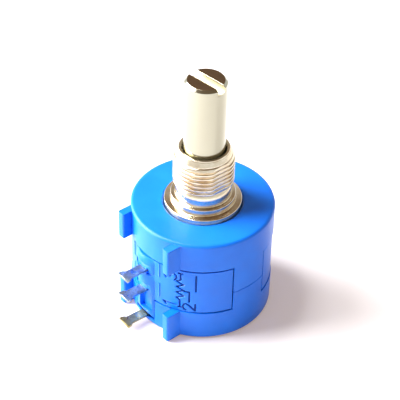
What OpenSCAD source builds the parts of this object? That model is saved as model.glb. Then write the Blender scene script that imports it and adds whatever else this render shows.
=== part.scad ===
// Ten-turn wirewound potentiometer, standing on its rear face with the shaft up.
// Millimetres. The origin is the centre of the rear face, +Z runs along the shaft
// and -Y points towards the solder lugs.

/* [Case] */
// Outside diameter of the case
case_d = 22.22; // [22:0.02:24]
// Length of the case from its rear face to its front face
case_len = 19.05; // [18.8:0.05:21]
// Thickness of the covers' side walls
cover_wall = 0.9; // [0.8:0.05:1]
// Thickness of the front cover's end wall
front_wall = 1.3; // [1:0.05:1.5]
// Thickness of the rear cover's end wall
rear_wall = 1; // [0.8:0.05:1.2]
// Rounding of the front cover's rim
front_round = 0.5; // [0.2:0.05:0.8]
// Rounding of the rear cover's rim
rear_round = 0.7; // [0.3:0.05:0.8]

/* [Cover skirts and tabs] */
// Depth of the front cover's skirt below the front face
front_skirt = 5.1; // [4.6:0.05:5.6]
// Height of the rear cover's skirt above the rear face
rear_skirt = 5.35; // [4.8:0.05:5.8]
// Height of the seam where the covers' side tabs meet
tab_seam = 8.9; // [8:0.05:10]
// Angle from the lug side to the middle of a side tab
tab_mid = 94.4; // [90:0.1:98]
// Angle that a side tab spans
tab_span = 31.3; // [24:0.1:36]
// Width of the seams between the plastic pieces
seam = 0.08; // [0.04:0.01:0.14]
// Depth of the coil housing's lands under the covers' outside
land_sink = 0.12; // [0.04:0.02:0.3]

/* [Fins] */
// Distance of a fin's inner face from the fins' middle plane
fin_in = 4.76; // [4.6:0.01:5]
// Thickness of a fin
fin_t = 1.37; // [1:0.01:1.6]
// Distance by which the fins' outer ends stand out beyond the case
fin_stand = 0.59; // [0.4:0.01:1.4]
// Angle by which the pair of fins is turned from the lug side
fin_turn = 2.2; // [0:0.1:3]
// Rounding of the fins' upright outer edges
fin_round = 0.3; // [0.1:0.05:0.45]
// Drop of the front fins' top under the front face
fin_drop = 0.4; // [0:0.05:0.8]
// Height of the rear fins' underside above the rear face
fin_foot = 0.25; // [0:0.05:0.6]

/* [Lug column] */
// Width of the column that carries the lugs
column_w = 4.4; // [4:0.05:5]
// Distance by which the column's rounded crown stands out beyond the fins
column_stand = 0.05; // [0:0.01:0.4]
// Radius of the column's rounded front
column_r = 3.1; // [2.9:0.1:4.5]
// Height of the column's foot above the rear lug
column_foot = 0.25; // [0.15:0.05:0.5]
// Height of the bevel at the column's foot
column_bevel = 1.5; // [0.8:0.05:1.6]
// Distance of the recess over the column's foot from the middle plane
recess_x = 0.58; // [0.4:0.02:0.7]
// Width of the recess over the column's foot
recess_w = 1.3; // [1:0.05:1.4]
// Depth of that recess under the column's crown
recess_depth = 0.85; // [0.5:0.05:0.9]
// Width of the pocket round a lug
pocket_w = 3.5; // [3:0.05:3.8]
// Height of a pocket above its lug
pocket_h = 1.4; // [0.8:0.05:1.6]
// Depth of a pocket under the column's crown
pocket_depth = 0.6; // [0.3:0.05:0.7]
// Distance of the guard ribs from the middle plane
guard_x = 3.1; // [2.9:0.05:3.6]
// Width of a guard rib
guard_w = 0.35; // [0.25:0.05:0.5]
// Height by which a guard rib stands over its land
guard_h = 0.2; // [0.1:0.05:0.3]
// Length of a guard rib
guard_len = 2.7; // [2:0.05:3]

/* [Solder lugs] */
// Length of a lug beyond the column's crown
lug_out = 3.33; // [3:0.01:4.2]
// Width of a lug's neck
lug_w = 1.65; // [1.4:0.05:1.8]
// Thickness of the lugs
lug_t = 0.38; // [0.3:0.02:0.5]
// Width across a lug's fishtail
fishtail_w = 2.6; // [2.2:0.05:2.9]
// Length of the fishtail's straight sides
fishtail_len = 0.73; // [0.5:0.01:0.9]
// Length of the slope from the neck to the fishtail
fishtail_slope = 0.4; // [0.2:0.05:0.6]
// Height of the front lug's outer face above the rear face
front_lug_z = 11; // [10.6:0.05:11.4]
// Height of the middle lug's outer face above the rear face
middle_lug_z = 6.9; // [6.4:0.05:7.2]

/* [Bushing] */
// Diameter of the flange that shows in the front cover
flange_d = 12; // [11.4:0.05:12.6]
// Height of the flange over the front face
flange_h = 0.65; // [0.4:0.05:0.9]
// Diameter of the panel seat
seat_d = 10; // [9.8:0.05:11]
// Height of the panel seat over the front face
seat_h = 1.76; // [1.4:0.02:2.2]
// Diameter of the neck behind the thread
neck_d = 8.6; // [8.2:0.05:8.8]
// Length of the neck
neck_len = 2.2; // [1.6:0.05:2.6]
// Outside diameter of the thread
thread_d = 9.35; // [9:0.05:9.6]
// Height of the bushing's end over the front face
bushing_h = 10.2; // [9.4:0.05:11.5]
// Width of the bevel at the bushing's end
end_bevel_w = 0.8; // [0.4:0.05:0.9]
// Height of the bevel at the bushing's end
end_bevel_h = 1.65; // [0.8:0.05:2]
// Distance from the axis to the key flat on the thread
flat_x = 4.37; // [4.32:0.01:4.5]
// Distance of the inside flange's edge from the housing's bore
anchor_inset = 1; // [0.6:0.05:1.6]
// Thickness of the flange inside the case
anchor_t = 0.9; // [0.7:0.05:1]
// Gap between the flange and the hole in the front cover
flange_gap = 0.1; // [0.05:0.01:0.2]
// Bevel of the hole in the front cover
hole_bevel = 0.25; // [0.1:0.05:0.4]

/* [Shaft] */
// Diameter of the shaft
shaft_d = 6.35; // [6:0.05:6.4]
// Height of the shaft's end over the front face
shaft_h = 22.13; // [18:0.05:26]
// Bevel at the shaft's end
shaft_bevel = 0.4; // [0.2:0.05:0.6]
// Width of the screwdriver slot
slot_w = 1.5; // [0.8:0.05:1.7]
// Depth of the screwdriver slot
slot_depth = 1.1; // [0.8:0.05:1.6]
// Angle of the screwdriver slot from +X
slot_turn = 9; // [0:1:45]
// Diameter of the shaft's journal in the bushing
journal_d = 5.9; // [5.5:0.05:6]
// Height of the journal's shoulder over the bushing's end
shoulder_rise = 0.1; // [0.05:0.01:0.2]
// Radial running gap of the shaft in its bearings
running_gap = 0.03; // [0.02:0.01:0.06]
// Diameter of the shaft's tail inside the rotor
tail_d = 4; // [3.6:0.05:4.4]

/* [Resistance coil] */
// Number of turns of the coil
turns = 10; // [5:1:10]
// Diameter of the wound core
core_d = 0.66; // [0.5:0.02:0.74]
// Thickness of the coil housing's sleeve
sleeve_t = 1.15; // [1.1:0.01:1.3]
// Gap between the coil and the housing's bore
coil_gap = 0.12; // [0.08:0.01:0.2]

/* [Rotor and carriage] */
// Gap between the rotor's end plates and the housing's bore
plate_gap = 1.5; // [1.35:0.05:1.7]
// Thickness of the rotor's end plates
plate_t = 0.8; // [0.6:0.05:0.9]
// Width of the wiper carriage
carriage_w = 3; // [2.6:0.05:3.4]
// Height of the wiper carriage
carriage_h = 1.6; // [1.4:0.05:1.8]
// Play of the carriage at each end of its travel
end_play = 0.1; // [0.06:0.01:0.15]
// Sliding gap round the carriage
slide_gap = 0.12; // [0.08:0.01:0.2]
// Width of the two guide rails beside the carriage
rail_w = 1; // [0.8:0.05:1.2]
// Distance of the collector rod from the rotor's rim and from its hub
rod_inset = 1.6; // [1.5:0.05:1.7]
// Diameter of the collector rod
rod_d = 1; // [0.8:0.05:1.1]
// Thickness of the contact springs and straps
spring_t = 0.25; // [0.2:0.01:0.3]
// Thickness of the slip ring
slip_t = 0.3; // [0.25:0.01:0.35]
// Gap at the wiping contacts
wipe_gap = 0.08; // [0.05:0.01:0.12]

/* [Hidden] */
$fn = 96;
over = 0.01;                    // overlap of united or cut shapes

// Case, from the outside in
case_r = case_d / 2;
cover_bore = case_r - cover_wall;
fit_gap = 0.06;                 // gap between the covers and the housing's sleeve
sleeve_r = cover_bore - fit_gap;
land_r = case_r - land_sink;
land_root = sleeve_r - 0.2;     // inside of the lands, sunk in the sleeve
guard_root = sleeve_r - 0.4;    // inside of the guard ribs
bore_r = sleeve_r - sleeve_t;
skirt_z = case_len - front_skirt;
inner_top = case_len - front_wall;
window_a = tab_mid - tab_span / 2;      // edge of a tab towards the lugs
back_a = tab_mid + tab_span / 2;        // edge of a tab towards the back
fin_reach = case_r + fin_stand;
column_reach = fin_reach + column_stand;
lug_reach = column_reach + lug_out;

// Bushing levels
flange_r = flange_d / 2;
hole_r = flange_r + flange_gap;
anchor_z = inner_top - anchor_t;
anchor_r = bore_r - anchor_inset;
seat_z = case_len + seat_h;
neck_z = seat_z + neck_len;
bushing_top = case_len + bushing_h;
journal_r = journal_d / 2;
bushing_bore = journal_r + running_gap;
lead_in = 0.55;                 // bevel at the mouth of the bushing's bore
thread_lead = (thread_d - neck_d) / 4;  // height of the thread's first bevel

// Rotor stack, down from the bushing and up from the rear wall
play = 0.05;                    // axial gap between neighbouring pieces of the stack
washer_t = 0.25;
washer_r = journal_r + 1.4;
washer_z = anchor_z - play - washer_t;
ring_t = 0.4;
ring_r = journal_r + 1.1;
ring_groove = 0.6;              // depth of the retaining ring's groove
ring_opening = 2.8;
ring_z = washer_z - ring_t;
rotor_top = ring_z - play;
front_plate_z = rotor_top - plate_t;
brush_room = 1.07;              // height of the rear bearing's space under the slip ring's brush
brush_z = rear_wall + brush_room;
slip_z = brush_z + spring_t + wipe_gap;
rear_plate_z = slip_z + slip_t;
carriage_room = front_plate_z - rear_plate_z - plate_t;
mid_z = front_plate_z - carriage_room / 2;
travel = carriage_room - carriage_h - 2 * end_play;
pitch = travel / turns;
tail_end = rear_wall + play;
tail_bevel = 0.2;
bearing_r = tail_d / 2 + 1.6;
bearing_h = 0.9;

// Coil
core_r = core_d / 2;
coil_r = bore_r - coil_gap - core_r;
coil_z = mid_z - travel / 2;
coil_top = coil_z + travel;
ring_steps = 30;                // rings in one turn
core_sides = 6;

// Rotor and carriage, seen along -Y at rest
plate_r = bore_r - plate_gap;
rod_x = plate_r - rod_inset;
hub_r = rod_x - rod_inset;
rail_out = plate_r - 0.5;
carriage_in = hub_r + slide_gap;
carriage_out = plate_r - 0.2;
rod_r = rod_d / 2;
rod_fit = 0.06;
contact_out = coil_r - core_r - wipe_gap - 0.05;
contact_in = rod_x + rod_r + 0.25;
contact_w = 0.9;
brush_plate_t = 0.2;
brush_inset = 0.3;              // distance of the rod brush's edges from the carriage's sides
slip_in = hub_r + 0.4;
slip_out = plate_r - 0.8;

// Lugs and straps
rear_lug_z = rear_wall + lug_t;
lug_root = bore_r + 0.2;        // inner end of the lugs, in the sleeve's wall
strap_w = 0.9;
strap_out = bore_r + 0.8;
strap_in = strap_out - spring_t;
ear_w = 1.9;                    // reach of the middle lug's ear to the wiper strap
ear_len = 0.6;
column_base = rear_lug_z + column_foot;
column_root = bore_r + 0.4;     // inner end of the column, in the sleeve's wall
bevel_angle = 30;               // slope of the bevel at the column's foot
recess_roof = 0.3;              // plastic left under the middle lug
guard_out = sqrt(pow(land_r, 2) - pow(guard_x, 2)) + guard_h;
fishtail_taper = 0.14;          // narrowing of the fishtail on each side before its slope
coil_tap = core_r + 0.02;       // gap between the coil's centre and an end strap's tongue
front_strap_top = coil_top + coil_tap + spring_t;
rear_strap_top = coil_z - coil_tap;
channel_in = bore_r - 0.2;      // the straps' channels open into the bore

// ---- helpers ----------------------------------------------------------------

// A ring cut to the angles a0 to a1, measured from the lug side
module sector(r_in, r_out, z0, z1, a0, a1) {
    rotate([0, 0, a0 - 90])
        rotate_extrude(angle = a1 - a0)
            translate([r_in, z0])
                square([r_out - r_in, z1 - z0]);
}

// A plain ring
module ring(r_in, r_out, z0, z1) {
    rotate_extrude()
        translate([r_in, z0])
            square([r_out - r_in, z1 - z0]);
}

// A box given by its two corners
module slab(p, q) {
    translate(p)
        cube(q - p);
}

// A fin at one side of the lugs, rooted in the cover's wall: side is 1 or -1
module fin(side, z0, z1) {
    x0 = side > 0 ? fin_in : -fin_in - fin_t;
    rotate([0, 0, fin_turn])
        translate([x0, 0, z0])
            difference() {
                linear_extrude(height = z1 - z0)
                    union() {
                        translate([0, -fin_reach + fin_round])
                            square([fin_t, fin_reach]);
                        translate([fin_round, -fin_reach])
                            square([fin_t - 2 * fin_round, fin_reach]);
                        for (x = [fin_round, fin_t - fin_round])
                            translate([x, -fin_reach + fin_round])
                                circle(r = fin_round);
                    }
                translate([-x0, 0, -over])
                    cylinder(r = case_r - cover_wall / 2, h = z1 - z0 + 2 * over);
            }
}

// The windows on the lug side and at the back, between the side tabs
module windows(z0, z1) {
    for (a = [[-window_a, window_a], [back_a, 360 - back_a]])
        sector(cover_bore - 1, case_r + 1, z0, z1, a[0], a[1]);
}

// ---- case -------------------------------------------------------------------

module front_cover() {
    foot = tab_seam + seam / 2;
    color([0.20, 0.52, 0.98])
    difference() {
        union() {
            difference() {
                rotate_extrude()
                    difference() {
                        union() {
                            translate([0, foot])
                                square([case_r, case_len - front_round - foot]);
                            translate([0, foot])
                                square([case_r - front_round, case_len - foot]);
                            translate([case_r - front_round, case_len - front_round])
                                circle(r = front_round);
                        }
                        translate([-over, foot - over])
                            square([cover_bore + over, inner_top - foot + over]);
                    }
                windows(foot - 1, skirt_z);
            }
            for (side = [-1, 1])
                fin(side, skirt_z, case_len - fin_drop);
        }
        translate([0, 0, inner_top - over])
            cylinder(r = hole_r, h = front_wall + 2 * over);
        translate([0, 0, case_len - hole_bevel])
            cylinder(r1 = hole_r, r2 = hole_r + hole_bevel + over, h = hole_bevel + over);
    }
}

module rear_cover() {
    top = tab_seam - seam / 2;
    color([0.18, 0.49, 0.95])
    difference() {
        union() {
            difference() {
                rotate_extrude()
                    difference() {
                        union() {
                            translate([0, rear_round])
                                square([case_r, top - rear_round]);
                            square([case_r - rear_round, top]);
                            translate([case_r - rear_round, rear_round])
                                circle(r = rear_round);
                        }
                        translate([-over, rear_wall])
                            square([cover_bore + over, top]);
                    }
                windows(rear_skirt, top + 1);
            }
            for (side = [-1, 1])
                fin(side, fin_foot, rear_skirt);
            ring(tail_d / 2 + running_gap, bearing_r, rear_wall - over, rear_wall + bearing_h);
        }
        // gap for the lug column, open at the top, with the rear lug on its floor
        slab([-column_w / 2 - seam, -case_r - 1, rear_wall],
             [column_w / 2 + seam, -bore_r, rear_skirt + over]);
    }
}

// Rounded front of the lug column
module column_front() {
    intersection() {
        translate([0, -column_reach + column_r, column_base])
            cylinder(r = column_r, h = skirt_z - seam - column_base);
        slab([-column_w / 2, -column_reach - over, column_base],
             [column_w / 2, -column_root, skirt_z - seam]);
    }
}

// Pocket round a lug whose outer face is at height z
module lug_pocket(z) {
    slab([-pocket_w / 2, -column_reach - 1, z],
         [pocket_w / 2, -column_reach + pocket_depth, z + pocket_h]);
}

module coil_housing() {
    gap_a = seam / case_r * 180 / PI;
    color([0.22, 0.54, 1.0])
    difference() {
        union() {
            ring(bore_r, sleeve_r, rear_wall, inner_top);
            sector(land_root, land_r, rear_skirt + seam, skirt_z - seam,
                   -window_a + gap_a, window_a - gap_a);
            sector(land_root, land_r, rear_skirt + seam, skirt_z - seam,
                   back_a + gap_a, 360 - back_a - gap_a);
            column_front();
            for (side = [-1, 1], z = [front_lug_z, middle_lug_z])
                translate([side * guard_x, 0, 0])
                    slab([-guard_w / 2, -guard_out, z],
                         [guard_w / 2, -guard_root, min(z + guard_len, skirt_z - seam)]);
        }
        // the bore stays round
        translate([0, 0, rear_wall - over])
            cylinder(r = bore_r, h = inner_top - rear_wall + 2 * over);
        lug_pocket(front_lug_z);
        lug_pocket(middle_lug_z);
        // bevel at the column's foot
        translate([0, -column_reach, column_base + column_bevel])
            rotate([bevel_angle, 0, 0])
                slab([-column_w, -1, -2 * column_bevel], [column_w, 0, 0]);
        // recess between the bevel and the middle lug
        slab([recess_x, -column_reach - 1, column_base + column_bevel],
             [recess_x + recess_w, -column_reach + recess_depth, middle_lug_z - lug_t - recess_roof]);
        // slots of the three lugs
        for (z = [front_lug_z, middle_lug_z])
            slab([-lug_w / 2, -column_reach - over, z - lug_t], [lug_w / 2, -lug_root, z]);
        lug_ear();
        slab([-lug_w / 2, -case_r, rear_wall - over], [lug_w / 2, -lug_root, rear_lug_z]);
        // channels of the straps
        end_strap(front_lug_z, front_strap_top, channel_in);
        end_strap(rear_lug_z, rear_strap_top, channel_in);
        wiper_lead(middle_lug_z - lug_t + over, channel_in);
    }
}

// ---- bushing ----------------------------------------------------------------

module bushing() {
    color([0.86, 0.80, 0.68])
    difference() {
        rotate_extrude()
            polygon([[bushing_bore, anchor_z],
                     [anchor_r, anchor_z],
                     [anchor_r, inner_top],
                     [flange_r, inner_top],
                     [flange_r, case_len + flange_h],
                     [seat_d / 2, case_len + flange_h],
                     [seat_d / 2, seat_z],
                     [neck_d / 2, seat_z],
                     [neck_d / 2, neck_z],
                     [thread_d / 2, neck_z + thread_lead],
                     [thread_d / 2, bushing_top - end_bevel_h],
                     [thread_d / 2 - end_bevel_w, bushing_top],
                     [bushing_bore + lead_in, bushing_top],
                     [bushing_bore, bushing_top - lead_in]]);
        slab([flat_x, -thread_d, seat_z], [thread_d, thread_d, bushing_top + over]);
    }
}

// ---- lugs and straps ----------------------------------------------------------

// Ear of the middle lug, on which the wiper's lead stands
module lug_ear() {
    slab([lug_w / 2 - over, -strap_out - ear_len, middle_lug_z - lug_t],
         [ear_w, -strap_in, middle_lug_z]);
}

// Strap that stands at height foot and ends in a tongue towards the axis
module end_strap(foot, top, tongue_in) {
    slab([-strap_w / 2, -strap_out, foot], [strap_w / 2, -strap_in, top]);
    slab([-strap_w / 2, -strap_out, top - spring_t], [strap_w / 2, -tongue_in, top]);
}

// Lead from the ear down to the brush that wipes the slip ring
module wiper_lead(top, tongue_in) {
    slab([ear_w - strap_w, -strap_out, brush_z], [ear_w, -strap_in, top]);
    slab([ear_w - strap_w, -strap_out, brush_z], [ear_w, -tongue_in, brush_z + spring_t]);
}

// Stamped lug whose outer face is at height z
module lug(z) {
    half = lug_w / 2;
    tip = fishtail_w / 2;
    shoulder = lug_reach - fishtail_len;
    translate([0, 0, z - lug_t])
        linear_extrude(height = lug_t)
            polygon([[-half, -lug_root],
                     [-half, -shoulder + fishtail_slope],
                     [-tip + fishtail_taper, -shoulder],
                     [-tip, -lug_reach],
                     [tip, -lug_reach],
                     [tip - fishtail_taper, -shoulder],
                     [half, -shoulder + fishtail_slope],
                     [half, -lug_root]]);
}

module front_lug() {
    color([0.70, 0.72, 0.78])
        lug(front_lug_z);
}

module middle_lug() {
    color([0.70, 0.72, 0.78])
    union() {
        lug(middle_lug_z);
        lug_ear();
    }
}

module rear_lug() {
    color([0.66, 0.62, 0.50])
        lug(rear_lug_z);
}

module front_end_strap() {
    color([0.80, 0.68, 0.40])
    union()
        end_strap(front_lug_z, front_strap_top, coil_r);
}

module rear_end_strap() {
    color([0.80, 0.68, 0.40])
    union()
        end_strap(rear_lug_z, rear_strap_top, coil_r);
}

module wiper_strap() {
    color([0.80, 0.68, 0.40])
    union()
        wiper_lead(middle_lug_z - lug_t, (slip_in + slip_out) / 2 - strap_w);
}

// ---- resistance coil ----------------------------------------------------------

// Point j of ring i on the wound core; the coil starts and ends on the lug side
function core_point(i, j) =
    let (a = 360 * i / ring_steps - 90,
         b = 360 * j / core_sides,
         r = coil_r + core_r * cos(b))
    [r * cos(a), r * sin(a), coil_z + pitch * i / ring_steps + core_r * sin(b)];

module resistance_coil() {
    rings = turns * ring_steps;
    n = core_sides;
    points = [for (i = [0 : rings], j = [0 : n - 1]) core_point(i, j)];
    sides = [for (i = [0 : rings - 1], j = [0 : n - 1], half = [0, 1])
        let (a = i * n + j,
             b = i * n + (j + 1) % n,
             c = a + n,
             d = b + n)
        half == 0 ? [a, b, d] : [a, d, c]];
    first = [[for (j = [n - 1 : -1 : 0]) j]];
    last = [[for (j = [0 : n - 1]) rings * n + j]];
    color([0.72, 0.48, 0.28])
        polyhedron(points = points, faces = concat(sides, first, last), convexity = 12);
}

// ---- rotor --------------------------------------------------------------------

module shaft() {
    top = case_len + shaft_h;
    r = shaft_d / 2;
    color([0.90, 0.88, 0.80])
    difference() {
        rotate_extrude()
            polygon([[0, tail_end],
                     [tail_d / 2 - tail_bevel, tail_end],
                     [tail_d / 2, tail_end + tail_bevel],
                     [tail_d / 2, rotor_top],
                     [journal_r - ring_groove, rotor_top],
                     [journal_r - ring_groove, washer_z],
                     [journal_r, washer_z],
                     [journal_r, bushing_top + shoulder_rise],
                     [r, bushing_top + shoulder_rise],
                     [r, top - shaft_bevel],
                     [r - shaft_bevel, top],
                     [0, top]]);
        rotate([0, 0, slot_turn])
            slab([-shaft_d, -slot_w / 2, top - slot_depth], [shaft_d, slot_w / 2, top + over]);
    }
}

// Open ring snapped into the shaft's groove
module retaining_ring() {
    color([0.45, 0.46, 0.48])
    difference() {
        ring(journal_r - ring_groove, ring_r, ring_z, ring_z + ring_t);
        slab([-ring_opening / 2, 0, ring_z - over],
             [ring_opening / 2, ring_r + 1, ring_z + ring_t + over]);
    }
}

module thrust_washer() {
    color([0.75, 0.74, 0.70])
        ring(bushing_bore, washer_r, washer_z, washer_z + washer_t);
}

// Moulded hub with the rear end plate
module rotor_hub() {
    color([0.16, 0.16, 0.18])
    difference() {
        union() {
            ring(tail_d / 2, hub_r, rear_plate_z, front_plate_z);
            ring(tail_d / 2, plate_r, rear_plate_z, rear_plate_z + plate_t);
        }
        translate([0, -rod_x, rear_plate_z - over])
            cylinder(r = rod_r, h = plate_t + 2 * over);
    }
}

module rotor_front_plate() {
    color([0.20, 0.20, 0.22])
    difference() {
        ring(tail_d / 2, plate_r, front_plate_z, rotor_top);
        translate([0, -rod_x, front_plate_z - over])
            cylinder(r = rod_r, h = plate_t + 2 * over);
    }
}

// Two upright rails that turn the carriage with the rotor
module guide_rails() {
    rail_in = carriage_w / 2 + slide_gap;
    color([0.18, 0.18, 0.20])
    for (side = [-1, 1])
        intersection() {
            ring(hub_r, rail_out, rear_plate_z + plate_t, front_plate_z);
            translate([side * (rail_in + rail_w / 2), 0, 0])
                slab([-rail_w / 2, -plate_r, rear_plate_z], [rail_w / 2, 0, rotor_top]);
        }
}

module collector_rod() {
    color([0.82, 0.66, 0.32])
    translate([0, -rod_x, rear_plate_z])
        cylinder(r = rod_r, h = rotor_top - rear_plate_z);
}

module slip_ring() {
    color([0.84, 0.68, 0.34])
        ring(slip_in, slip_out, slip_z, rear_plate_z);
}

// ---- wiper carriage -------------------------------------------------------------

module wiper_carriage() {
    z0 = mid_z - carriage_h / 2;
    z1 = mid_z + carriage_h / 2 - brush_plate_t;
    color([0.92, 0.90, 0.84])
    difference() {
        intersection() {
            ring(carriage_in, carriage_out, z0, z1);
            slab([-carriage_w / 2, -plate_r, z0], [carriage_w / 2, 0, z1]);
        }
        translate([0, -rod_x, z0 - over])
            cylinder(r = rod_r + rod_fit, h = carriage_h);
        // seat of the wiper contact
        slab([-contact_w / 2, -plate_r, mid_z - spring_t / 2],
             [contact_w / 2, -contact_in, mid_z + spring_t / 2]);
    }
}

module wiper_contact() {
    color([0.86, 0.72, 0.42])
        slab([-contact_w / 2, -contact_out, mid_z - spring_t / 2],
             [contact_w / 2, -contact_in, mid_z + spring_t / 2]);
}

module rod_brush() {
    z0 = mid_z + carriage_h / 2 - brush_plate_t;
    color([0.86, 0.72, 0.42])
    difference() {
        slab([-carriage_w / 2 + brush_inset, -carriage_out + brush_inset, z0],
             [carriage_w / 2 - brush_inset, -carriage_in - slide_gap, z0 + brush_plate_t]);
        translate([0, -rod_x, z0 - over])
            cylinder(r = rod_r + rod_fit, h = carriage_h);
    }
}

front_cover();
coil_housing();
rear_cover();
bushing();
front_lug();
middle_lug();
rear_lug();
resistance_coil();
front_end_strap();
rear_end_strap();
wiper_strap();
shaft();
retaining_ring();
thrust_washer();
rotor_hub();
guide_rails();
rotor_front_plate();
collector_rod();
slip_ring();
wiper_carriage();
wiper_contact();
rod_brush();
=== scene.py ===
from math import asin, atan2, cos, degrees, pi, radians, sin, sqrt, tan

import bmesh
import bpy
from mathutils import Matrix, Vector


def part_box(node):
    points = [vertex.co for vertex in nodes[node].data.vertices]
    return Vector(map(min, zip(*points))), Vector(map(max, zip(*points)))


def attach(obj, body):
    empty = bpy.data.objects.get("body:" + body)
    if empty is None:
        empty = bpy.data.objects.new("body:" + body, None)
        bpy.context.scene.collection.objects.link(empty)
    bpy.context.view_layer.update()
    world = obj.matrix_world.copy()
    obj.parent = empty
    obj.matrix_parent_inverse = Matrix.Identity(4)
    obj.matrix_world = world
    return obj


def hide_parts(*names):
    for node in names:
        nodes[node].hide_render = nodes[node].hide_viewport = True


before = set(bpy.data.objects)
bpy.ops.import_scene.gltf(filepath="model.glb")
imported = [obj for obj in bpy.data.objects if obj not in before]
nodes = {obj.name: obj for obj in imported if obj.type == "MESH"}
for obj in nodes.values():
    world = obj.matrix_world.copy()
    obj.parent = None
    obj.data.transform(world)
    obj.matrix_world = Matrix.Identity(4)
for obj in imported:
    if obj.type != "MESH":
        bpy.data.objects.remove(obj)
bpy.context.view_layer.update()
mm = 0.001

# ---- Front cover ------------------------------------------------------------
# The real cover is one moulding of blue glass-filled plastic, with two fins that guard the lugs
# and two side tabs that reach down over the coil housing. It snaps over the housing's sleeve and
# holds the bushing's flange in its round hole.
low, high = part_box("front_cover")
case_r = high.y
case_len = high.z
fin_reach = case_r + 0.59 * mm
tab_foot = low.z
cover_bore = case_r - 0.9 * mm
cover_floor = case_len - 1.3 * mm
skirt_z = case_len - 5.1 * mm
window_a = 78.75                # edge of a side tab towards the lugs, in degrees from them
back_a = 110.05                 # edge of a side tab towards the back
fin_turn = 2.2                  # degrees by which the pair of fins is turned
fin_in = 4.76 * mm
fin_out = fin_in + 1.37 * mm
fin_round = 0.3 * mm
fin_top = case_len - 0.4 * mm
hole_r = 6.1 * mm
hole_bevel = 0.25 * mm
front_round = 0.5 * mm
moulded_edge = 0.06 * mm        # easing of the covers' edges
column_step = 2.5               # degrees between plain columns of the round meshes
column_room = 0.55              # steps by which a plain column stays off an edge or a plane
wall_share = 0.985              # share of the case's radius beyond which upright planes hold


def plane_angle(x, r):
    """Angle from the lug side at which the upright plane at x meets the radius r."""
    return degrees(asin(x / r))


def columns(planes, edges, r):
    """The columns of a round mesh as (angle, plane, turn): plain ones, edges, and upright planes
    given as (x, turn), with x measured before the plane is turned."""
    special = {a: (None, 0) for a in edges}
    for x, turn in planes:
        special[plane_angle(x, r) + turn] = (x, turn)
    plain = [-180 + column_step * i for i in range(round(360 / column_step))]
    room = column_room * column_step
    apart = [a for a in plain if min(abs(a - s) for s in special) > room]
    return sorted([(a, None, 0) for a in apart] + [(a, *p) for a, p in special.items()],
                  key=lambda column: column[0])


def round_point(column, r, z):
    """The point of a column at radius r; outside the wall, an upright plane's column stays in it."""
    angle, x, turn = column
    if x is not None and r > wall_share * case_r:
        angle = plane_angle(x, r) + turn
    return Vector((r * sin(radians(angle)), -r * cos(radians(angle)), z))


def round_cells(name, cols, levels, heights, filled, place, core=False):
    """A closed mesh of the filled cells of a round grid. filled says whether the cell outward of a
    level and above a height is solid, and place gives the corner points. With a core, the
    innermost cells close at the axis."""
    n = len(cols)
    solid = {}
    for i in range(n):
        middle = (cols[i][0] + (cols[i + 1][0] if i + 1 < n else cols[0][0] + 360)) / 2
        for j in range(levels - 1):
            for k in range(len(heights) - 1):
                solid[i, j, k] = filled(middle, j, (heights[k] + heights[k + 1]) / 2)
    mesh = bmesh.new()
    corners = {}

    def corner(i, j, k):
        key = (i % n, j, k)
        if key not in corners:
            corners[key] = mesh.verts.new(place(cols[i % n], j, heights[k]))
        return corners[key]

    def side(cell, keys):
        if not solid.get(cell, False):
            mesh.faces.new([corner(*key) for key in keys])

    for (i, j, k), full in solid.items():
        if not full:
            continue
        side(((i - 1) % n, j, k), [(i, j, k), (i, j, k + 1), (i, j + 1, k + 1), (i, j + 1, k)])
        side(((i + 1) % n, j, k),
             [(i + 1, j, k), (i + 1, j + 1, k), (i + 1, j + 1, k + 1), (i + 1, j, k + 1)])
        if j or not core:
            side((i, j - 1, k), [(i, j, k), (i + 1, j, k), (i + 1, j, k + 1), (i, j, k + 1)])
        side((i, j + 1, k),
             [(i, j + 1, k), (i, j + 1, k + 1), (i + 1, j + 1, k + 1), (i + 1, j + 1, k)])
        side((i, j, k - 1), [(i, j, k), (i, j + 1, k), (i + 1, j + 1, k), (i + 1, j, k)])
        side((i, j, k + 1),
             [(i, j, k + 1), (i + 1, j, k + 1), (i + 1, j + 1, k + 1), (i, j + 1, k + 1)])
    if core:
        ends = [k for k in range(len(heights) - 1) if solid[0, 0, k]]
        for k in (ends[0], ends[-1] + 1):
            mesh.faces.new([corners[i, 0, k] for i in range(n)])
    bmesh.ops.recalc_face_normals(mesh, faces=mesh.faces)
    return finished(name, mesh)


def finished(name, mesh):
    """The bmesh as a smooth-shaded object of that name."""
    for face in mesh.faces:
        face.smooth = True
    data = bpy.data.meshes.new(name)
    mesh.to_mesh(data)
    mesh.free()
    piece = bpy.data.objects.new(name, data)
    bpy.context.scene.collection.objects.link(piece)
    return piece


def ease_edges(piece, width, limit=35):
    """Rounds a moulded or stamped piece's edges."""
    bevel = piece.modifiers.new("eased_edges", "BEVEL")
    bevel.width = width
    bevel.segments = 2
    bevel.limit_method = "ANGLE"
    bevel.angle_limit = radians(limit)
    bevel.use_clamp_overlap = False
    bevel.harden_normals = True


def arc_steps(count):
    """Angles from 0 to 90 degrees, in radians."""
    return [pi / 2 * i / count for i in range(count + 1)]


def fin_planes():
    """Upright planes across both fins, close together where the outer edges are round."""
    inset = [fin_round * (1 - cos(a)) for a in arc_steps(4)]
    across = [fin_in + d for d in inset] + [fin_out - d for d in inset]
    return [(side * x, fin_turn) for x in across for side in (-1, 1)]


def fin_end(wall):
    """The point of a fin's outer end in line with a point of the wall."""
    turn = Matrix.Rotation(radians(fin_turn), 3, "Z")
    end = turn.inverted() @ wall
    depth = max(0, min(abs(end.x) - fin_in, fin_out - abs(end.x), fin_round))
    end.y = fin_round - fin_reach - sqrt(max(0, fin_round ** 2 - (fin_round - depth) ** 2))
    return turn @ end


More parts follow.
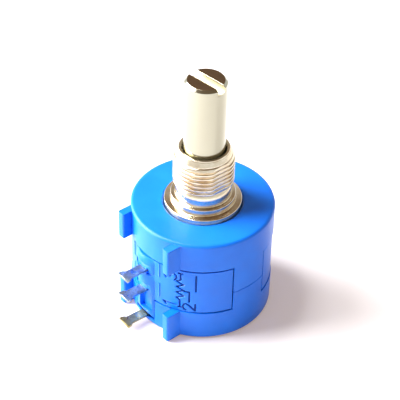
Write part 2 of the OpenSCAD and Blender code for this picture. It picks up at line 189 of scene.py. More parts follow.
def in_fin(angle):
    """Whether an angle lies between a fin's two sides."""
    return plane_angle(fin_in, case_r) < abs(angle - fin_turn) < plane_angle(fin_out, case_r)


def in_tab(angle):
    """Whether an angle lies within a side tab."""
    return window_a < abs(angle) < back_a


def front_rim(z):
    """Radius of the front cover's outside at the height z."""
    rise = max(0, z - (case_len - front_round))
    return case_r - front_round + sqrt(max(0, front_round ** 2 - rise ** 2))


def front_cover_filled(angle, level, z):
    """The end wall, then the skirt with its side tabs, then the fins."""
    if level == 0:
        return z > cover_floor
    if level == 1:
        return z > (tab_foot if in_tab(angle) else skirt_z)
    return in_fin(angle) and skirt_z < z < fin_top


def front_cover_corner(column, level, z):
    """The levels are the flange's hole, the bore, the outside and the fins' outer ends."""
    if level == 0:
        return round_point(column, hole_r + max(0, z - (case_len - hole_bevel)), z)
    if level == 1:
        return round_point(column, cover_bore, z)
    wall = round_point(column, front_rim(z), z)
    return fin_end(wall) if level == 3 else wall


front_rows = [tab_foot, (tab_foot + skirt_z) / 2, skirt_z, cover_floor, case_len - hole_bevel]
front_rows += [case_len - front_round + front_round * sin(a) for a in arc_steps(5)] + [fin_top]
front_cover = round_cells(
    "front_cover_shell",
    columns(fin_planes(), [-back_a, -window_a, window_a, back_a], case_r),
    4, sorted(front_rows), front_cover_filled, front_cover_corner)
ease_edges(front_cover, moulded_edge)
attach(front_cover, "case")
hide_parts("front_cover")


class Value:
    """A socket in shader maths: each sum, product or comparison of it adds a Math node."""

    def __init__(self, finish, socket):
        self.finish = finish
        self.socket = socket

    def math(self, operation, other):
        return self.finish.node("ShaderNodeMath", {"operation": operation}, {0: self, 1: other})

    def __add__(self, other):
        return self.math("ADD", other)

    def __mul__(self, other):
        return self.math("MULTIPLY", other)

    def __gt__(self, other):
        return self.math("GREATER_THAN", other)

    def __lt__(self, other):
        return self.math("LESS_THAN", other)

    __radd__ = __add__
    __rmul__ = __mul__


class Finish:
    """The nodes of a material made round one Principled shader, or of the world."""

    def __init__(self, name, world=False, **constants):
        self.holder = (bpy.data.worlds if world else bpy.data.materials).new(name)
        self.holder.use_nodes = True
        self.tree = self.holder.node_tree
        self.shader = self.tree.nodes["Background" if world else "Principled BSDF"]
        for socket, value in constants.items():
            self.shader.inputs[socket.replace("_", " ")].default_value = value

    def node(self, kind, settings=None, sockets=None, output=0):
        """Adds a node: its settings first, then the values or links of its sockets."""
        node = self.tree.nodes.new(kind)
        for name, value in (settings or {}).items():
            setattr(node, name, value)
        for name, value in (sockets or {}).items():
            if isinstance(value, Value):
                self.tree.links.new(value.socket, node.inputs[name])
            else:
                node.inputs[name].default_value = value
        return Value(self, node.outputs[output])

    def noise(self, point, scale, detail):
        """Noise from 0 to 1, with scale in features per millimetre."""
        return self.node("ShaderNodeTexNoise", None,
                         {"Vector": point, "Scale": scale / mm, "Detail": detail})

    def point(self, stretch=(1, 1, 1)):
        """The piece's own coordinates, stretched."""
        where = self.node("ShaderNodeTexCoord", None, None, "Object")
        return self.node("ShaderNodeVectorMath", {"operation": "MULTIPLY"},
                         {0: where, 1: stretch})

    def from_axis(self):
        """Distance from the part's axis."""
        return self.node("ShaderNodeVectorMath", {"operation": "LENGTH"},
                         {0: self.point((1, 1, 0))}, "Value")

    def upward(self, vector):
        """The Z part of a vector."""
        return self.node("ShaderNodeSeparateXYZ", None, {0: vector}, "Z")

    def blend(self, factor, first, second):
        """A colour between two others."""
        return self.node("ShaderNodeMix", {"data_type": "RGBA"},
                         {0: factor, 6: first, 7: second}, 2)

    def between(self, value, low, high):
        """The value's middle stretch spread from 0 to 1."""
        return self.node("ShaderNodeMapRange", {"interpolation_type": "SMOOTHSTEP"},
                         {0: value, 1: low, 2: high})

    def feed(self, socket, value):
        """Links a varying value to the shader."""
        self.tree.links.new(value.socket, self.shader.inputs[socket])

    def emboss(self, height, distance):
        """Gives the shader a relief of that height."""
        self.feed("Normal", self.node("ShaderNodeBump", None,
                                      {"Height": height, "Distance": distance}))

    def cover(self, *pieces):
        """Puts the material on pieces or CAD nodes."""
        for piece in pieces:
            piece.data.materials.clear()
            piece.data.materials.append(self.holder)


def srgb(red, green, blue):
    """A colour written as the eye sees it, from 0 to 255, as Blender's linear one."""
    share = [c / 255 for c in (red, green, blue)]
    return [c / 12.92 if c < 0.04045 else ((c + 0.055) / 1.055) ** 2.4 for c in share] + [1]


painted_shade_depth = 0.22 * mm        # painted shade: the plastic is painted darker below this depth, in the gaps round the lands and the sunk diagram
blue_plastic = Finish("moulded_blue_plastic", IOR=1.5, Specular_IOR_Level=0.35)
cloud = blue_plastic.noise(blue_plastic.point(), 0.25, 4)
grain = blue_plastic.noise(blue_plastic.point(), 9, 2)
shade = blue_plastic.between(cloud, 0.3, 0.7)
moulded = blue_plastic.blend(shade, srgb(8, 114, 236), srgb(14, 121, 242))
height = blue_plastic.upward(blue_plastic.point())
# painted shade: deeper than the lands and below the skirt, the blue is blended towards a dark blue
painted_groove_shade = (blue_plastic.from_axis() < case_r - painted_shade_depth) * (height < skirt_z)
blue_plastic.feed("Base Color", blue_plastic.blend(0.75 * painted_groove_shade, moulded, srgb(0, 40, 120)))
blue_plastic.feed("Roughness", 0.3 + 0.08 * grain + 0.05 * shade)
blue_plastic.emboss(grain, 0.003 * mm)
blue_plastic.cover(front_cover)

# ---- Coil housing -----------------------------------------------------------
# The middle moulding of the same plastic carries the resistance coil in its bore. A column on its
# land holds the three lugs in pockets, and the wiring diagram is sunk in the land beside it.
low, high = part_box("coil_housing")
sleeve_foot = low.z
sleeve_top = high.z
bore_r = 9 * mm
sleeve_r = cover_bore - 0.06 * mm
land_r = case_r - 0.12 * mm
land_edge = 0.05 * mm
seam = 0.15 * mm                # width of the gaps round the lands
rear_skirt_z = 5.35 * mm
land_foot = rear_skirt_z + seam
land_top = skirt_z - 2 * seam
column_x = 2.2 * mm
column_crown = -low.y
column_curve = 3.1 * mm
column_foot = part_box("rear_lug")[1].z + 0.25 * mm
foot_bevel = 1.5 * mm
foot_slope = radians(30)
pocket_x = 1.75 * mm
pocket_floor = column_crown - 0.6 * mm
pocket_h = 1.4 * mm
pocket_ramp = 0.8 * mm          # height of the slope from a lug's top to its pocket's floor
side_hole = 0.4 * mm            # height of the open corner beside a lug's root
guard_in = 2.925 * mm
guard_out = 3.275 * mm
guard_len = 2.7 * mm
guard_reach = 10.64 * mm
recess_in = -0.3 * mm           # sides of the recess under the middle lug
recess_out = 1.9 * mm
crown_planes = [0.15 * mm, 1.3 * mm]    # planes that only follow the column's round front
hood_slope = 0.4 * mm
lug_half = 0.825 * mm
lug_names = ["front_lug", "middle_lug", "rear_lug"]
lug_tops = {name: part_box(name)[1].z for name in lug_names}
lug_t = lug_tops["front_lug"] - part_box("front_lug")[0].z
pocketed = [lug_tops["front_lug"], lug_tops["middle_lug"]]
hoods = [(lug_tops["front_lug"] + pocket_h, land_top),
         (lug_tops["middle_lug"] + pocket_h, lug_tops["front_lug"] - lug_t)]
seam_a = degrees(seam / case_r)
back_seams = 2.7                # width of the upright gaps behind the side tabs, in seams


def between_planes(angle, x_in, x_out):
    """Whether an angle on the land lies between two upright planes."""
    return plane_angle(x_in, land_r) < angle < plane_angle(x_out, land_r)


def in_land(angle):
    """Whether an angle lies on the land at the lugs or on the one at the back."""
    return abs(angle) < window_a - seam_a or abs(angle) > back_a + back_seams * seam_a


def housing_filled(angle, level, z):
    """The sleeve, then the lands, then the column and the guard ribs, less slots and pockets."""
    in_column = between_planes(angle, -column_x, column_x) and column_foot < z < land_top
    if level and between_planes(angle, -lug_half, lug_half) and \
            any(top - lug_t < z < top for top in lug_tops.values()):
        return False
    if level == 0:
        return z < sleeve_top
    if level == 1:
        return in_column or (in_land(angle) and land_foot < z < land_top)
    if between_planes(abs(angle), guard_in, guard_out):
        return any(top < z < min(top + guard_len, land_top) for top in pocketed)
    if not in_column:
        return False
    if between_planes(angle, recess_in, recess_out) and \
            column_foot + foot_bevel < z < lug_tops["middle_lug"] - lug_t:
        return False
    pocket = between_planes(angle, -pocket_x, pocket_x) and \
        any(top < z < top + pocket_h for top in pocketed)
    hole = between_planes(angle, lug_half, pocket_x) and \
        any(top - lug_t - side_hole < z < top + side_hole for top in pocketed)
    return not hole and (level == 2 or not pocket)


def column_face(x, z):
    """The column's front at the plane x: hoods over the two upper lugs and a bevel at the foot."""
    front = column_crown - column_curve + sqrt(column_curve ** 2 - x * x)
    for bottom, top in hoods:
        if bottom < z <= top:
            front -= hood_slope * ((z - bottom) / (top - bottom)) ** 2
    return min(front, column_crown - max(0, column_foot + foot_bevel - z) * tan(foot_slope))


def pocket_face(z):
    """The pockets' floor at a height: it slopes outward to the lug's top."""
    rise = min(abs(z - top) for top in pocketed)
    return pocket_floor + (column_crown - pocket_floor) * max(0, 1 - rise / pocket_ramp)


def housing_corner(column, level, z):
    """The levels are the bore, the sleeve, the lands, the pockets' floors and the column's face."""
    if level < 3:
        return round_point(column, [bore_r, sleeve_r, land_r][level], z)
    x = column[1]
    point = round_point(column, land_r, z)
    if x is None:
        return point
    outer = guard_reach if abs(x) > column_x + seam else max(column_face(x, z), -point.y)
    point.y = -(min(pocket_face(z), (outer - point.y) / 2) if level == 3 else outer)
    return point


column_planes = crown_planes + [-recess_in, lug_half, pocket_x, recess_out, column_x, guard_in,
                                guard_out]
housing_rows = {sleeve_foot, sleeve_top, land_foot, land_top, column_foot,
                column_foot + foot_bevel, column_foot + foot_bevel / 2}
for bottom, top in hoods:
    housing_rows |= {bottom + (top - bottom) * share for share in (0.25, 0.5, 0.75)}
for top in lug_tops.values():
    housing_rows |= {top, top - lug_t}
for top in pocketed:
    housing_rows |= {top + pocket_h, min(top + guard_len, land_top), top + pocket_ramp / 2,
                     top + pocket_ramp, top + side_hole, top - lug_t - side_hole}
# The wiring diagram is sunk in the land at the right of the lugs: a zigzag for the coil, a line for
# the wiper, and plain numbers for the lugs. Its lines are drawn in millimetres, as (arc from the
# lugs, height), and the numbers as (across, up), lying on their side.
diagram_step = 0.07 * mm
diagram_arcs = (3.4 * mm, 9.8 * mm)
diagram_rows = (5.5 * mm, 13.4 * mm)
diagram_depth = 0.3 * mm
line_half = 0.11 * mm
line_edge = 0.6                 # share of a line's half width where its sloping side starts
row_room = 0.02 * mm            # smallest distance between two rows of points
zigzag = [(6.85, 13.1), (6.85, 11.75)]
zigzag += [((6.2, 7.4)[i % 2], 11.4 - 0.56 * i) for i in range(7)]
zigzag += [(6.75, 7.65), (6.75, 6.15)]
one = [(0.1, 1.65), (0.55, 2.2), (0.55, 0)]
two = [(0.15, 1.5), (0.3, 1.85), (0.75, 2), (1.25, 1.85), (1.4, 1.5), (1.2, 1.05), (0.15, 0.05),
       (1.45, 0.05)]
three = [(0.1, 1.75), (0.45, 2), (1, 1.95), (1.25, 1.5), (0.95, 1.1), (0.55, 1.05), (1, 1),
         (1.35, 0.55), (1.05, 0.1), (0.5, 0), (0.05, 0.3)]
diagram = [zigzag, [(6.5, 13.1), (7.15, 13.1)], [(6.5, 6.15), (7.05, 6.15)],
           [(7.45, 9.55), (8.25, 9.55), (8.25, 7.5)], [(9.25, 12.9), (9.25, 9.85)]]
for number, base, foot in ((one, 6.15, 5.9), (two, 9.25, 5.65), (three, 6.2, 11.45)):
    diagram.append([(base - up, foot + across) for across, up in number])


def diagram_weight(arc, z):
    """How deep the diagram is sunk at a place on the land, from 0 to 1."""
    place = Vector((arc / mm, z / mm))
    distances = []
    for line in diagram:
        for first, second in zip(line, line[1:]):
            start = Vector(first)
            run = Vector(second) - start
            share = max(0, min(1, (place - start).dot(run) / run.length_squared))
            distances.append((place - start - run * share).length)
    return max(0, min(1, 1 + line_edge - min(distances) * mm / line_half))


def fine_steps(first, last):
    """Places from the first to the last, a step of the diagram apart."""
    return [first + diagram_step * i for i in range(round((last - first) / diagram_step) + 1)]


housing_rows |= {row for row in fine_steps(*diagram_rows)
                 if all(abs(row - z) > row_room for z in housing_rows)}
fine_columns = [degrees(arc / land_r) for arc in fine_steps(*diagram_arcs)]
coil_housing = round_cells(
    "coil_housing_body",
    columns([(side * x, 0) for x in column_planes for side in (-1, 1)],
            fine_columns + [side * (a + s * seam_a) for side in (-1, 1)
                            for a, s in ((window_a, -1), (back_a, back_seams))], land_r),
    5, sorted(housing_rows), housing_filled, housing_corner)
ease_edges(coil_housing, land_edge)
sunk = coil_housing.vertex_groups.new(name="diagram")
for vertex in coil_housing.data.vertices:
    arc = atan2(vertex.co.x, -vertex.co.y) * land_r
    on_land = abs(vertex.co.xy.length - land_r) < 0.01 * mm
    if on_land and diagram_arcs[0] < arc < diagram_arcs[1]:
        sunk.add([vertex.index], diagram_weight(arc, vertex.co.z), "REPLACE")
engraving = coil_housing.modifiers.new("diagram", "DISPLACE")
engraving.vertex_group = "diagram"
engraving.mid_level = 0
engraving.strength = -diagram_depth
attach(coil_housing, "case")
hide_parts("coil_housing")
blue_plastic.cover(coil_housing)

# ---- Rear cover -------------------------------------------------------------
# The rear moulding is a cup of the same plastic. Its fins and side tabs meet those of the front
# cover, and a gap in its wall lets the lug column and the rear lug through.
rear_round = 0.7 * mm
rear_wall = 1 * mm
rear_tab_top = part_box("rear_cover")[1].z
fin_foot = 0.25 * mm
gap_x = column_x + seam
core_r = 0.6 * mm               # where the columns of the end wall meet its middle face
boss_in = 2.03 * mm
boss_out = 3.6 * mm
boss_top = rear_wall + 0.9 * mm


def rear_rim(z):
    """Radius of the rear cover's outside at the height z."""
    drop = max(0, rear_round - z)
    return case_r - rear_round + sqrt(max(0, rear_round ** 2 - drop ** 2))


def rear_cover_filled(angle, level, z):
    """The end wall with the shaft's boss on it, then the skirt with its side tabs, then the fins."""
    if level == 0:
        return z < rear_wall
    if level == 1:
        return z < boss_top
    if level == 2:
        return z < rear_wall
    if abs(angle) < plane_angle(gap_x, case_r) and z > rear_wall:
        return False
    if level == 3:
        return z < (rear_tab_top if in_tab(angle) else rear_skirt_z)
    return in_fin(angle) and fin_foot < z < rear_skirt_z


def rear_cover_corner(column, level, z):
    """The levels are the wall's middle, the boss, the bore, the outside and the fins' ends."""
    if level < 4:
        point = round_point(column, [core_r, boss_in, boss_out, cover_bore][level], z)
        if level == 3 and column[1] in (-gap_x, gap_x):
            point = Vector((column[1], -sqrt(cover_bore ** 2 - gap_x ** 2), z))
        return point
    wall = round_point(column, rear_rim(z), z)
    return fin_end(wall) if level == 5 else wall


rear_rows = [0, fin_foot, rear_wall, boss_top, rear_skirt_z, rear_tab_top]
rear_rows += [rear_round * (1 - cos(a)) for a in arc_steps(6)[1:]]
rear_cover = round_cells(
    "rear_cover_shell",
    columns(fin_planes() + [(-gap_x, 0), (gap_x, 0)],
            [-back_a, -window_a, window_a, back_a], case_r),
    6, sorted(rear_rows), rear_cover_filled, rear_cover_corner, core=True)
ease_edges(rear_cover, moulded_edge)
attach(rear_cover, "case")
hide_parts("rear_cover")
blue_plastic.cover(rear_cover)

# ---- Bushing ----------------------------------------------------------------
# A turned brass bushing with a nickel plate. Its anchor flange sits inside the front cover, and
# its thread takes the panel nut. One flat on the thread keys it in the panel.
low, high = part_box("bushing")
bushing_foot = low.z
bushing_top = high.z
anchor_r = high.y
anchor_top = cover_floor
flange_r = 6 * mm
flange_top = case_len + 0.65 * mm
seat_r = 5 * mm
seat_top = case_len + 1.76 * mm
neck_r = 4.3 * mm
neck_top = seat_top + 2.2 * mm
thread_r = 4.675 * mm
thread_root = 4.22 * mm
thread_pitch = 0.73 * mm
rows_per_ridge = 14
crest_width = 1.35              # over 1, the crests are flattened
crest_round = 0.8               # under 1, the crests are fuller than the roots
thread_start = neck_top
thread_end = bushing_top - 0.2 * mm
end_bevel_w = 0.8 * mm
end_bevel_h = 1.65 * mm
end_rim = 0.12 * mm             # upright rim between the thread's bevel and the end
neck_gap = 0.02 * mm            # keeps the neck's last ring apart from the thread's first
mouth_bevel = 0.55 * mm
flat_x = 4.37 * mm
bushing_bore = 2.98 * mm
turned_sides = 192


def eased(corners, steps=3):
    """A turned outline: each corner is (radius, height, easing), and a corner with easing
    becomes an arc."""
    outline = []
    for i, (r, z, easing) in enumerate(corners):
        if not easing:
            outline.append((r, z))
            continue
        here = Vector((r, z))
        before = (Vector(corners[i - 1][:2]) - here).normalized()
        after = (Vector(corners[(i + 1) % len(corners)][:2]) - here).normalized()
        half = before.angle(after) / 2
        reach = easing / tan(half)
        centre = here + (before + after).normalized() * (easing / sin(half))
        start = here + before * reach - centre
        end = here + after * reach - centre
        for s in range(steps + 1):
            share = s / steps
            spoke = (start * (1 - share) + end * share).normalized() * easing
            outline.append(tuple(centre + spoke))
    return outline


def shade_flat_faces(piece, weight=50):
    """Keeps wide faces flat in the shading where they meet eased edges."""
    flat = piece.modifiers.new("flat_faces", "WEIGHTED_NORMAL")
    flat.mode = "FACE_AREA"
    flat.weight = weight


def turned(name, outline, shape):
    """Turns a closed outline about the shaft's axis, and shape moves each point."""
    mesh = bmesh.new()
    rings = []
    for r, z in outline:
        ring = []
        for s in range(turned_sides):
            a = 2 * pi * s / turned_sides
            ring.append(mesh.verts.new(shape(Vector((r * sin(a), -r * cos(a), z)), r, a)))
        rings.append(ring)
    for first, second in zip(rings, rings[1:] + rings[:1]):
        for s in range(turned_sides):
            t = (s + 1) % turned_sides
            mesh.faces.new((first[s], first[t], second[t], second[s]))
    bmesh.ops.recalc_face_normals(mesh, faces=mesh.faces)
    piece = finished(name, mesh)
    shade_flat_faces(piece, 80)
    return piece


def ridge(z, a):
    """Radius of the thread at the height z and the turn a: a right-handed helix with rounded
    crests, which fade in at its foot and are cut by the bevel at its end."""
    phase = (z / thread_pitch - a / (2 * pi)) % 1
    crest = min(1, crest_width * (0.5 + 0.5 * cos(2 * pi * phase))) ** crest_round
    rise = max(0, min(1, (z - thread_start) / (0.5 * thread_pitch)))
    bevelled = thread_r - end_bevel_w * max(0, z - bushing_top + end_bevel_h) / end_bevel_h
    return min(thread_root + (thread_r - thread_root) * crest * rise, bevelled)


def thread_point(point, r, a):
    """Raises the thread's ridges and cuts the key flat."""
    if r == thread_r:
        turned_r = ridge(point.z, a)
        point.x, point.y = turned_r * sin(a), -turned_r * cos(a)
    if point.z > seat_top and r > neck_r - 0.1 * mm:
        point.x = min(point.x, flat_x)
    return point


ease = 0.08 * mm
thread_rows = round((thread_end - thread_start) / (thread_pitch / rows_per_ridge))
bushing_outline = eased([
    (bushing_bore, bushing_foot, 0),
    (anchor_r, bushing_foot, ease),
    (anchor_r, anchor_top, ease),
    (flange_r, anchor_top, 0),
    (flange_r, flange_top, 0.15 * mm),
    (seat_r, flange_top, 0.1 * mm),
    (seat_r, seat_top, 0.12 * mm),
    (neck_r, seat_top, 0.1 * mm),
    (neck_r, (seat_top + neck_top) / 2, 0),
    (neck_r, neck_top - neck_gap, 0)])
bushing_outline += [(thread_r, thread_start + (thread_end - thread_start) * i / thread_rows)
                    for i in range(thread_rows + 1)]
bushing_outline += eased([
    (thread_r - end_bevel_w, bushing_top - end_rim, 0),
    (thread_r - end_bevel_w, bushing_top, 0.08 * mm),
    (bushing_bore + mouth_bevel, bushing_top, 0.05 * mm),
    (bushing_bore, bushing_top - mouth_bevel, 0)])
bushing = turned("bushing_body", bushing_outline, thread_point)
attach(bushing, "case")
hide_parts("bushing")

nickel_plate = Finish("nickel_plate", Metallic=1.0)
across = nickel_plate.from_axis()
along = nickel_plate.upward(nickel_plate.point())
tool_lines = nickel_plate.noise(
    nickel_plate.node("ShaderNodeCombineXYZ", None, {0: across, 2: along}), 11, 2)
stain = nickel_plate.between(nickel_plate.noise(nickel_plate.point(), 0.3, 3), 0.35, 0.75)
nickel_plate.feed("Base Color",
                  nickel_plate.blend(stain, srgb(224, 214, 192), srgb(192, 168, 132)))
nickel_plate.feed("Roughness", 0.18 + 0.1 * tool_lines)
nickel_plate.emboss(tool_lines, 0.011 * mm)
nickel_plate.cover(bushing)

# ---- Shaft ------------------------------------------------------------------
# A ground round shaft turns in the bushing and in the rear cover's boss. Its end has a bevel and
# a screwdriver slot, and inside the case it carries the rotor.
low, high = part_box("shaft")
shaft_r = 3.175 * mm
shaft_end = high.z
shaft_bevel = 0.4 * mm
shaft_edge = 0.05 * mm
slot_half = 0.75 * mm
slot_floor = shaft_end - 1.1 * mm
slot_turn = radians(9)
tail_r = 2 * mm
tail_foot = low.z
tail_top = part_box("rotor_front_plate")[1].z
journal_r = 2.95 * mm
groove_r = journal_r - 0.6 * mm
groove_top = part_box("thrust_washer")[0].z
shoulder = bushing_top - 0.22 * mm
slot_sides = 60                 # steps round each half of the slotted end
gap_sides = 8                   # steps across each open end of the slot
face_band = 0.2 * mm            # the end face's look reaches down this far


def slotted_end(mesh):
    """Adds the two halves above the slot's floor, each bevelled at its end, and gives the rows of
    points that they stand on."""
    inner_r = shaft_r - shaft_bevel
    levels = [(shaft_r, slot_floor), (shaft_r, shaft_end - shaft_bevel), (inner_r, shaft_end)]
    halves = []
    for side in (0, 1):
        rows = []
        for r, z in levels:
            edge = asin(slot_half / r)
            row = []
            for s in range(slot_sides + 1):
                a = edge + (pi - 2 * edge) * s / slot_sides + pi * side + slot_turn
                row.append(mesh.verts.new((r * cos(a), r * sin(a), z)))
            rows.append(row)
        for lower, upper in zip(rows, rows[1:]):
            for s in range(slot_sides):
                mesh.faces.new((lower[s], lower[s + 1], upper[s + 1], upper[s]))
        mesh.faces.new(rows[-1])
        mesh.faces.new([row[0] for row in rows] + [row[-1] for row in reversed(rows)])
        halves.append(rows[0])
    return halves


mesh = bmesh.new()
slot_edge = asin(slot_half / shaft_r)
halves = slotted_end(mesh)
open_arcs = []
for side in (0, 1):
    start = -slot_edge + pi * side + slot_turn
    turns = [start + 2 * slot_edge * s / gap_sides for s in range(1, gap_sides)]
    open_arcs.append([mesh.verts.new((shaft_r * cos(a), shaft_r * sin(a), slot_floor))
                      for a in turns])
mesh.faces.new([halves[1][-1]] + open_arcs[0] + [halves[0][0], halves[0][-1]] + open_arcs[1]
               + [halves[1][0]])
rim = open_arcs[0] + halves[0] + open_arcs[1] + halves[1]
wall = eased([(shaft_r, shoulder, 0), (journal_r, shoulder, 0), (journal_r, groove_top, 0),
              (groove_r, groove_top, 0), (groove_r, tail_top, 0),
              (tail_r, tail_top, 0), (tail_r, tail_foot, 0.15 * mm)])
previous = rim
for r, z in wall:
    ring = [mesh.verts.new((v.co.x / shaft_r * r, v.co.y / shaft_r * r, z)) for v in rim]
    for s in range(len(rim)):
        t = (s + 1) % len(rim)
        mesh.faces.new((previous[s], previous[t], ring[t], ring[s]))
    previous = ring
mesh.faces.new(previous)
bmesh.ops.recalc_face_normals(mesh, faces=mesh.faces)
shaft = finished("shaft_body", mesh)
ease_edges(shaft, shaft_edge, 40)
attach(shaft, "rotor")
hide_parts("shaft")

shaft_metal = Finish("ground_shaft", Metallic=1.0)
brushing = shaft_metal.noise(shaft_metal.point((0.03, 0.03, 1)), 12, 3)
tilt = shaft_metal.upward(shaft_metal.node("ShaderNodeNewGeometry", None, None, "Normal"))
height = shaft_metal.upward(shaft_metal.point())
flat = shaft_metal.between(tilt, 0.8, 0.95)
sawn = flat * (height < shaft_end - face_band)      # the slot's floor, brighter and rougher
painted_dark_end = flat * (height > shaft_end - face_band)     # the end face, with painted reflection: dark brown for the dim ceiling that it mirrors
ground = shaft_metal.blend(brushing, srgb(180, 179, 161), srgb(172, 169, 150))
ground = shaft_metal.blend(sawn, ground, srgb(238, 228, 204))
# painted reflection: the dark brown of the end face stands for the dim ceiling that it mirrors
painted_end_reflection = shaft_metal.blend(brushing, srgb(126, 98, 68), srgb(96, 72, 46))
shaft_metal.feed("Base Color", shaft_metal.blend(painted_dark_end, ground, painted_end_reflection))
shaft_metal.feed("Roughness", 0.16 + 0.05 * brushing + 0.16 * painted_dark_end + 0.4 * sawn)
shaft_metal.emboss(brushing, 0.0008 * mm)
shaft_metal.cover(shaft)

# ---- Solder lugs ------------------------------------------------------------
# Three lugs are stamped from tinned brass strip and pressed into the column's slots. Each widens
# to a fishtail tip, round which a wire is wound and soldered.
lug_reach = -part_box("front_lug")[0].y
lug_root = 9.2 * mm
tip_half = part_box("front_lug")[1].x
fishtail_len = 0.73 * mm
fishtail_slope = 0.4 * mm
fishtail_taper = 0.14 * mm
stamped_edge = 0.05 * mm
weld = 0.002 * mm               # points closer than this are one


def stamped(name, outline, bottom, thickness, edge):
    """A sheet piece cut to its outline, with eased edges."""
    curve = bpy.data.curves.new(name, "CURVE")
    curve.dimensions = "2D"
    curve.fill_mode = "BOTH"
    curve.extrude = thickness / 2 - edge
    curve.bevel_depth = edge
    curve.bevel_resolution = 1
    curve.offset = -edge
    spline = curve.splines.new("POLY")
    spline.points.add(len(outline) - 1)
    for point, (x, y) in zip(spline.points, outline):
        point.co = (x, y, 0, 1)
    spline.use_cyclic_u = True
    form = bpy.data.objects.new(name + "_outline", curve)
    bpy.context.scene.collection.objects.link(form)
    graph = bpy.context.evaluated_depsgraph_get()
    mesh = bmesh.new()
    mesh.from_mesh(form.evaluated_get(graph).to_mesh())
    bpy.data.objects.remove(form)
    bpy.data.curves.remove(curve)
    bmesh.ops.remove_doubles(mesh, verts=mesh.verts, dist=weld)
    bmesh.ops.translate(mesh, verts=mesh.verts, vec=(0, 0, bottom + thickness / 2))
    bmesh.ops.recalc_face_normals(mesh, faces=mesh.faces)
    piece = finished(name, mesh)
    shade_flat_faces(piece)
    return piece


def lug_outline():
    """A lug seen from above: the strip, then the fishtail widening to the tip."""
    tail = lug_reach - fishtail_len
    half = [(lug_half, -lug_root), (lug_half, -tail + fishtail_slope),
            (tip_half - fishtail_taper, -tail), (tip_half, -lug_reach)]
    return half + [(-x, y) for x, y in reversed(half)]


tin = Finish("tinned_strip", Metallic=1.0)
dull = tin.between(tin.noise(tin.point(), 0.8, 3), 0.35, 0.7)
ripple = tin.noise(tin.point(), 1.6, 2)
tin.feed("Base Color", tin.blend(dull, srgb(176, 186, 184), srgb(122, 130, 130)))
tin.feed("Roughness", 0.26 + 0.2 * dull)
tin.emboss(ripple, 0.008 * mm)
# painted shade: the rear lug gets a darker, olive copy of the tin for the shade it lies in under the
# fin, mottled at random
painted_shade_tin = Finish("painted_shade_tin", Metallic=1.0)
shade_mottle = painted_shade_tin.between(painted_shade_tin.noise(painted_shade_tin.point(), 0.7, 4), 0.3, 0.7)
painted_shade_tin.feed("Base Color", painted_shade_tin.blend(shade_mottle, srgb(196, 182, 134), srgb(146, 132, 84)))
painted_shade_tin.feed("Roughness", 0.22 + 0.15 * shade_mottle)
painted_shade_tin.emboss(painted_shade_tin.noise(painted_shade_tin.point(), 2, 2), 0.01 * mm)
for name in lug_names:
    lug = stamped(name + "_strip", lug_outline(), lug_tops[name] - lug_t, lug_t, stamped_edge)
    # the rear lug takes the copy of the tin with painted shade
    (painted_shade_tin if name == "rear_lug" else tin).cover(lug)
    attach(lug, "case")
    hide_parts(name)

# ---- Resistance coil and straps ---------------------------------------------
# The resistance element is wire wound closely on a core and laid in the housing as a helix of
# ten turns. Straps of contact alloy join its ends and the wiper's brush to the lugs.
wire = Finish("wound_wire", Metallic=1.0)
winding = wire.noise(wire.point((1, 1, 0.2)), 7, 2)
wire.feed("Base Color", wire.blend(winding, srgb(176, 120, 72), srgb(128, 84, 50)))
wire.feed("Roughness", 0.3 + 0.3 * winding)
wire.emboss(winding, 0.03 * mm)
wire.cover(nodes["resistance_coil"])
contact_alloy = Finish("contact_alloy", Metallic=1.0)
rolling = contact_alloy.noise(contact_alloy.point((1, 1, 6)), 2, 3)
contact_alloy.feed("Base Color", contact_alloy.blend(
    rolling, srgb(226, 194, 122), srgb(194, 156, 86)))
contact_alloy.feed("Roughness", 0.2 + 0.2 * rolling)
contact_alloy.cover(*[nodes[n] for n in (
    "front_end_strap", "rear_end_strap", "wiper_strap", "collector_rod", "slip_ring",
    "wiper_contact", "rod_brush")])

# ---- Rotor ------------------------------------------------------------------
# The hub, its two end plates and the guide rails are moulded in black nylon and turn with the
# shaft. A spring-steel ring and a washer hold the stack under the bushing.
black_plastic = Finish("moulded_black_plastic")
fleck = black_plastic.noise(black_plastic.point(), 4, 3)
black_plastic.feed("Base Color", black_plastic.blend(fleck, srgb(30, 30, 33), srgb(48, 48, 52)))
black_plastic.feed("Roughness", 0.4 + 0.15 * fleck)
black_plastic.cover(*[nodes[n] for n in ("rotor_hub", "guide_rails", "rotor_front_plate")])
spring_steel = Finish("spring_steel", Metallic=1.0)
bluing = spring_steel.noise(spring_steel.point(), 1.5, 4)
spring_steel.feed("Base Color", spring_steel.blend(
    bluing, srgb(150, 152, 158), srgb(112, 116, 128)))
spring_steel.feed("Roughness", 0.25 + 0.2 * bluing)
spring_steel.cover(nodes["retaining_ring"], nodes["thrust_washer"])

# ---- Wiper carriage ---------------------------------------------------------
# The carriage is moulded in white acetal. It slides along the collector rod between the rails,
# and its contact follows the coil's turns.
white_plastic = Finish("moulded_white_plastic")
milk = white_plastic.noise(white_plastic.point(), 2, 3)
white_plastic.feed("Base Color", white_plastic.blend(
    milk, srgb(236, 232, 222), srgb(222, 216, 204)))
white_plastic.feed("Roughness", 0.35 + 0.15 * milk)
white_plastic.cover(nodes["wiper_carriage"])

# ---- Floor, light and camera ------------------------------------------------
# A white sheet lies under the part. On the left stand a small lamp high up, a broad one under it
# and a low one as broad as a window. Metal sees white walls and a dim ceiling over the sheet.
floor_half = 0.6                # metres
floor_mesh = bmesh.new()
bmesh.ops.create_grid(floor_mesh, x_segments=8, y_segments=8, size=floor_half)
floor = finished("floor", floor_mesh)


def seen_rays(finish):
    """1 for the rays by which the camera or a gloss sees the sheet and the room, 0 for light."""
    ray = finish.node("ShaderNodeLightPath", None, None, "Is Camera Ray")
    glossy = Value(finish, ray.socket.node.outputs["Is Glossy Ray"])
    return ray.math("MAXIMUM", glossy)


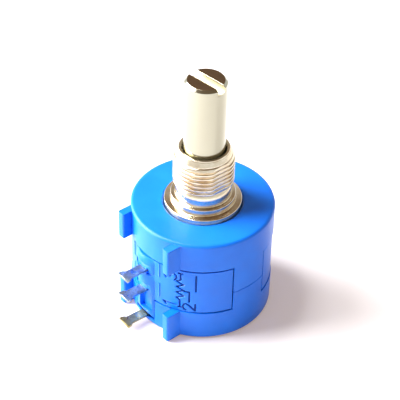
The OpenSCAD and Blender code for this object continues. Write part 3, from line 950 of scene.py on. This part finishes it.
paper = Finish("white_sheet", Roughness=0.9)
paper_tone = paper.noise(paper.point(), 0.05, 2)
paper.feed("Base Color", paper.blend(paper_tone, srgb(226, 224, 226), srgb(220, 218, 222)))
past_painted_shadow = paper.between(paper.from_axis(), 0.05, 0.14)      # metres; painted shadow: within this the sheet's glow turns dim and warm
# painted shadow: near the part the glow is dim and warm, far off it is white
glow = paper.node("ShaderNodeEmission", None, {
    "Color": paper.blend(past_painted_shadow, (0.31, 0.23, 0.165, 1), (1, 1, 1, 1)), "Strength": 1.0})
sheet = Value(paper, paper.shader.outputs[0])
lit = paper.node("ShaderNodeAddShader", None, {0: sheet, 1: glow})
mixed = paper.node("ShaderNodeMixShader", None, {0: seen_rays(paper), 1: sheet, 2: lit})
paper.tree.links.new(mixed.socket, paper.tree.nodes["Material Output"].inputs["Surface"])
paper.cover(floor)

studio = Finish("studio", world=True, Strength=1.0)
bpy.context.scene.world = studio.holder
way_up = studio.upward(studio.node("ShaderNodeTexCoord", None, None, "Generated"))
ceiling = studio.blend(studio.between(way_up, 0.42, 0.66), (1, 1, 1, 1), (0.28, 0.2, 0.13, 1))
ambient = (0.31, 0.31, 0.32, 1)
studio.feed("Color", studio.blend(seen_rays(studio), ambient, ceiling))

camera_turn = radians(51.7)     # from the lug side towards the key flat
camera_height = radians(39.53)  # over the front face
camera_far = 206.126 * mm       # from the front face's centre
camera_down = radians(39.58)
camera_side = radians(-0.16)
camera_roll = radians(1.46)
lens_mm = 121.217
sensor_mm = 36
turn = Matrix.Rotation(camera_turn, 3, "Z")
front_centre = Vector((0, 0, case_len))
eye = front_centre + turn @ Vector((0, -cos(camera_height), sin(camera_height))) * camera_far
ahead = Vector((sin(camera_side) * cos(camera_down), cos(camera_side) * cos(camera_down),
                -sin(camera_down)))
right = ahead.cross(Vector((0, 0, 1))).normalized()
up = right.cross(ahead)
tilted_right = cos(camera_roll) * right + sin(camera_roll) * up
tilted_up = cos(camera_roll) * up - sin(camera_roll) * right
lens = bpy.data.cameras.new("camera")
lens.sensor_width = sensor_mm
lens.lens = lens_mm
lens.clip_start = 0.005
camera = bpy.data.objects.new("camera", lens)
bpy.context.scene.collection.objects.link(camera)
basis = Matrix((tilted_right, tilted_up, -ahead)).transposed()
camera.matrix_world = Matrix.Translation(eye) @ (turn @ basis).to_4x4()
bpy.context.scene.camera = camera


lamp_far = 0.35                 # metres from the front face's centre


def lamp(name, side, height, size, power):
    """A square soft lamp, aimed at the part: side is in degrees to the right of the camera, height
    in degrees over the front face, size in metres and power in watts."""
    light = bpy.data.lights.new(name, "AREA")
    light.size = size
    light.energy = power
    lamp_object = bpy.data.objects.new(name, light)
    bpy.context.scene.collection.objects.link(lamp_object)
    a = camera_turn + radians(side)
    h = radians(height)
    way = Vector((sin(a) * cos(h), -cos(a) * cos(h), sin(h)))
    lamp_object.location = front_centre + way * lamp_far
    lamp_object.rotation_mode = "QUATERNION"
    lamp_object.rotation_quaternion = way.to_track_quat("Z", "Y")


lamp("high_lamp", -101, 69, 0.09, 0.7)
lamp("low_lamp", -96, 36, 0.24, 2.7)
lamp("window", -99, 10, 0.34, 3.9)
bpy.context.scene.view_settings.view_transform = "Standard"
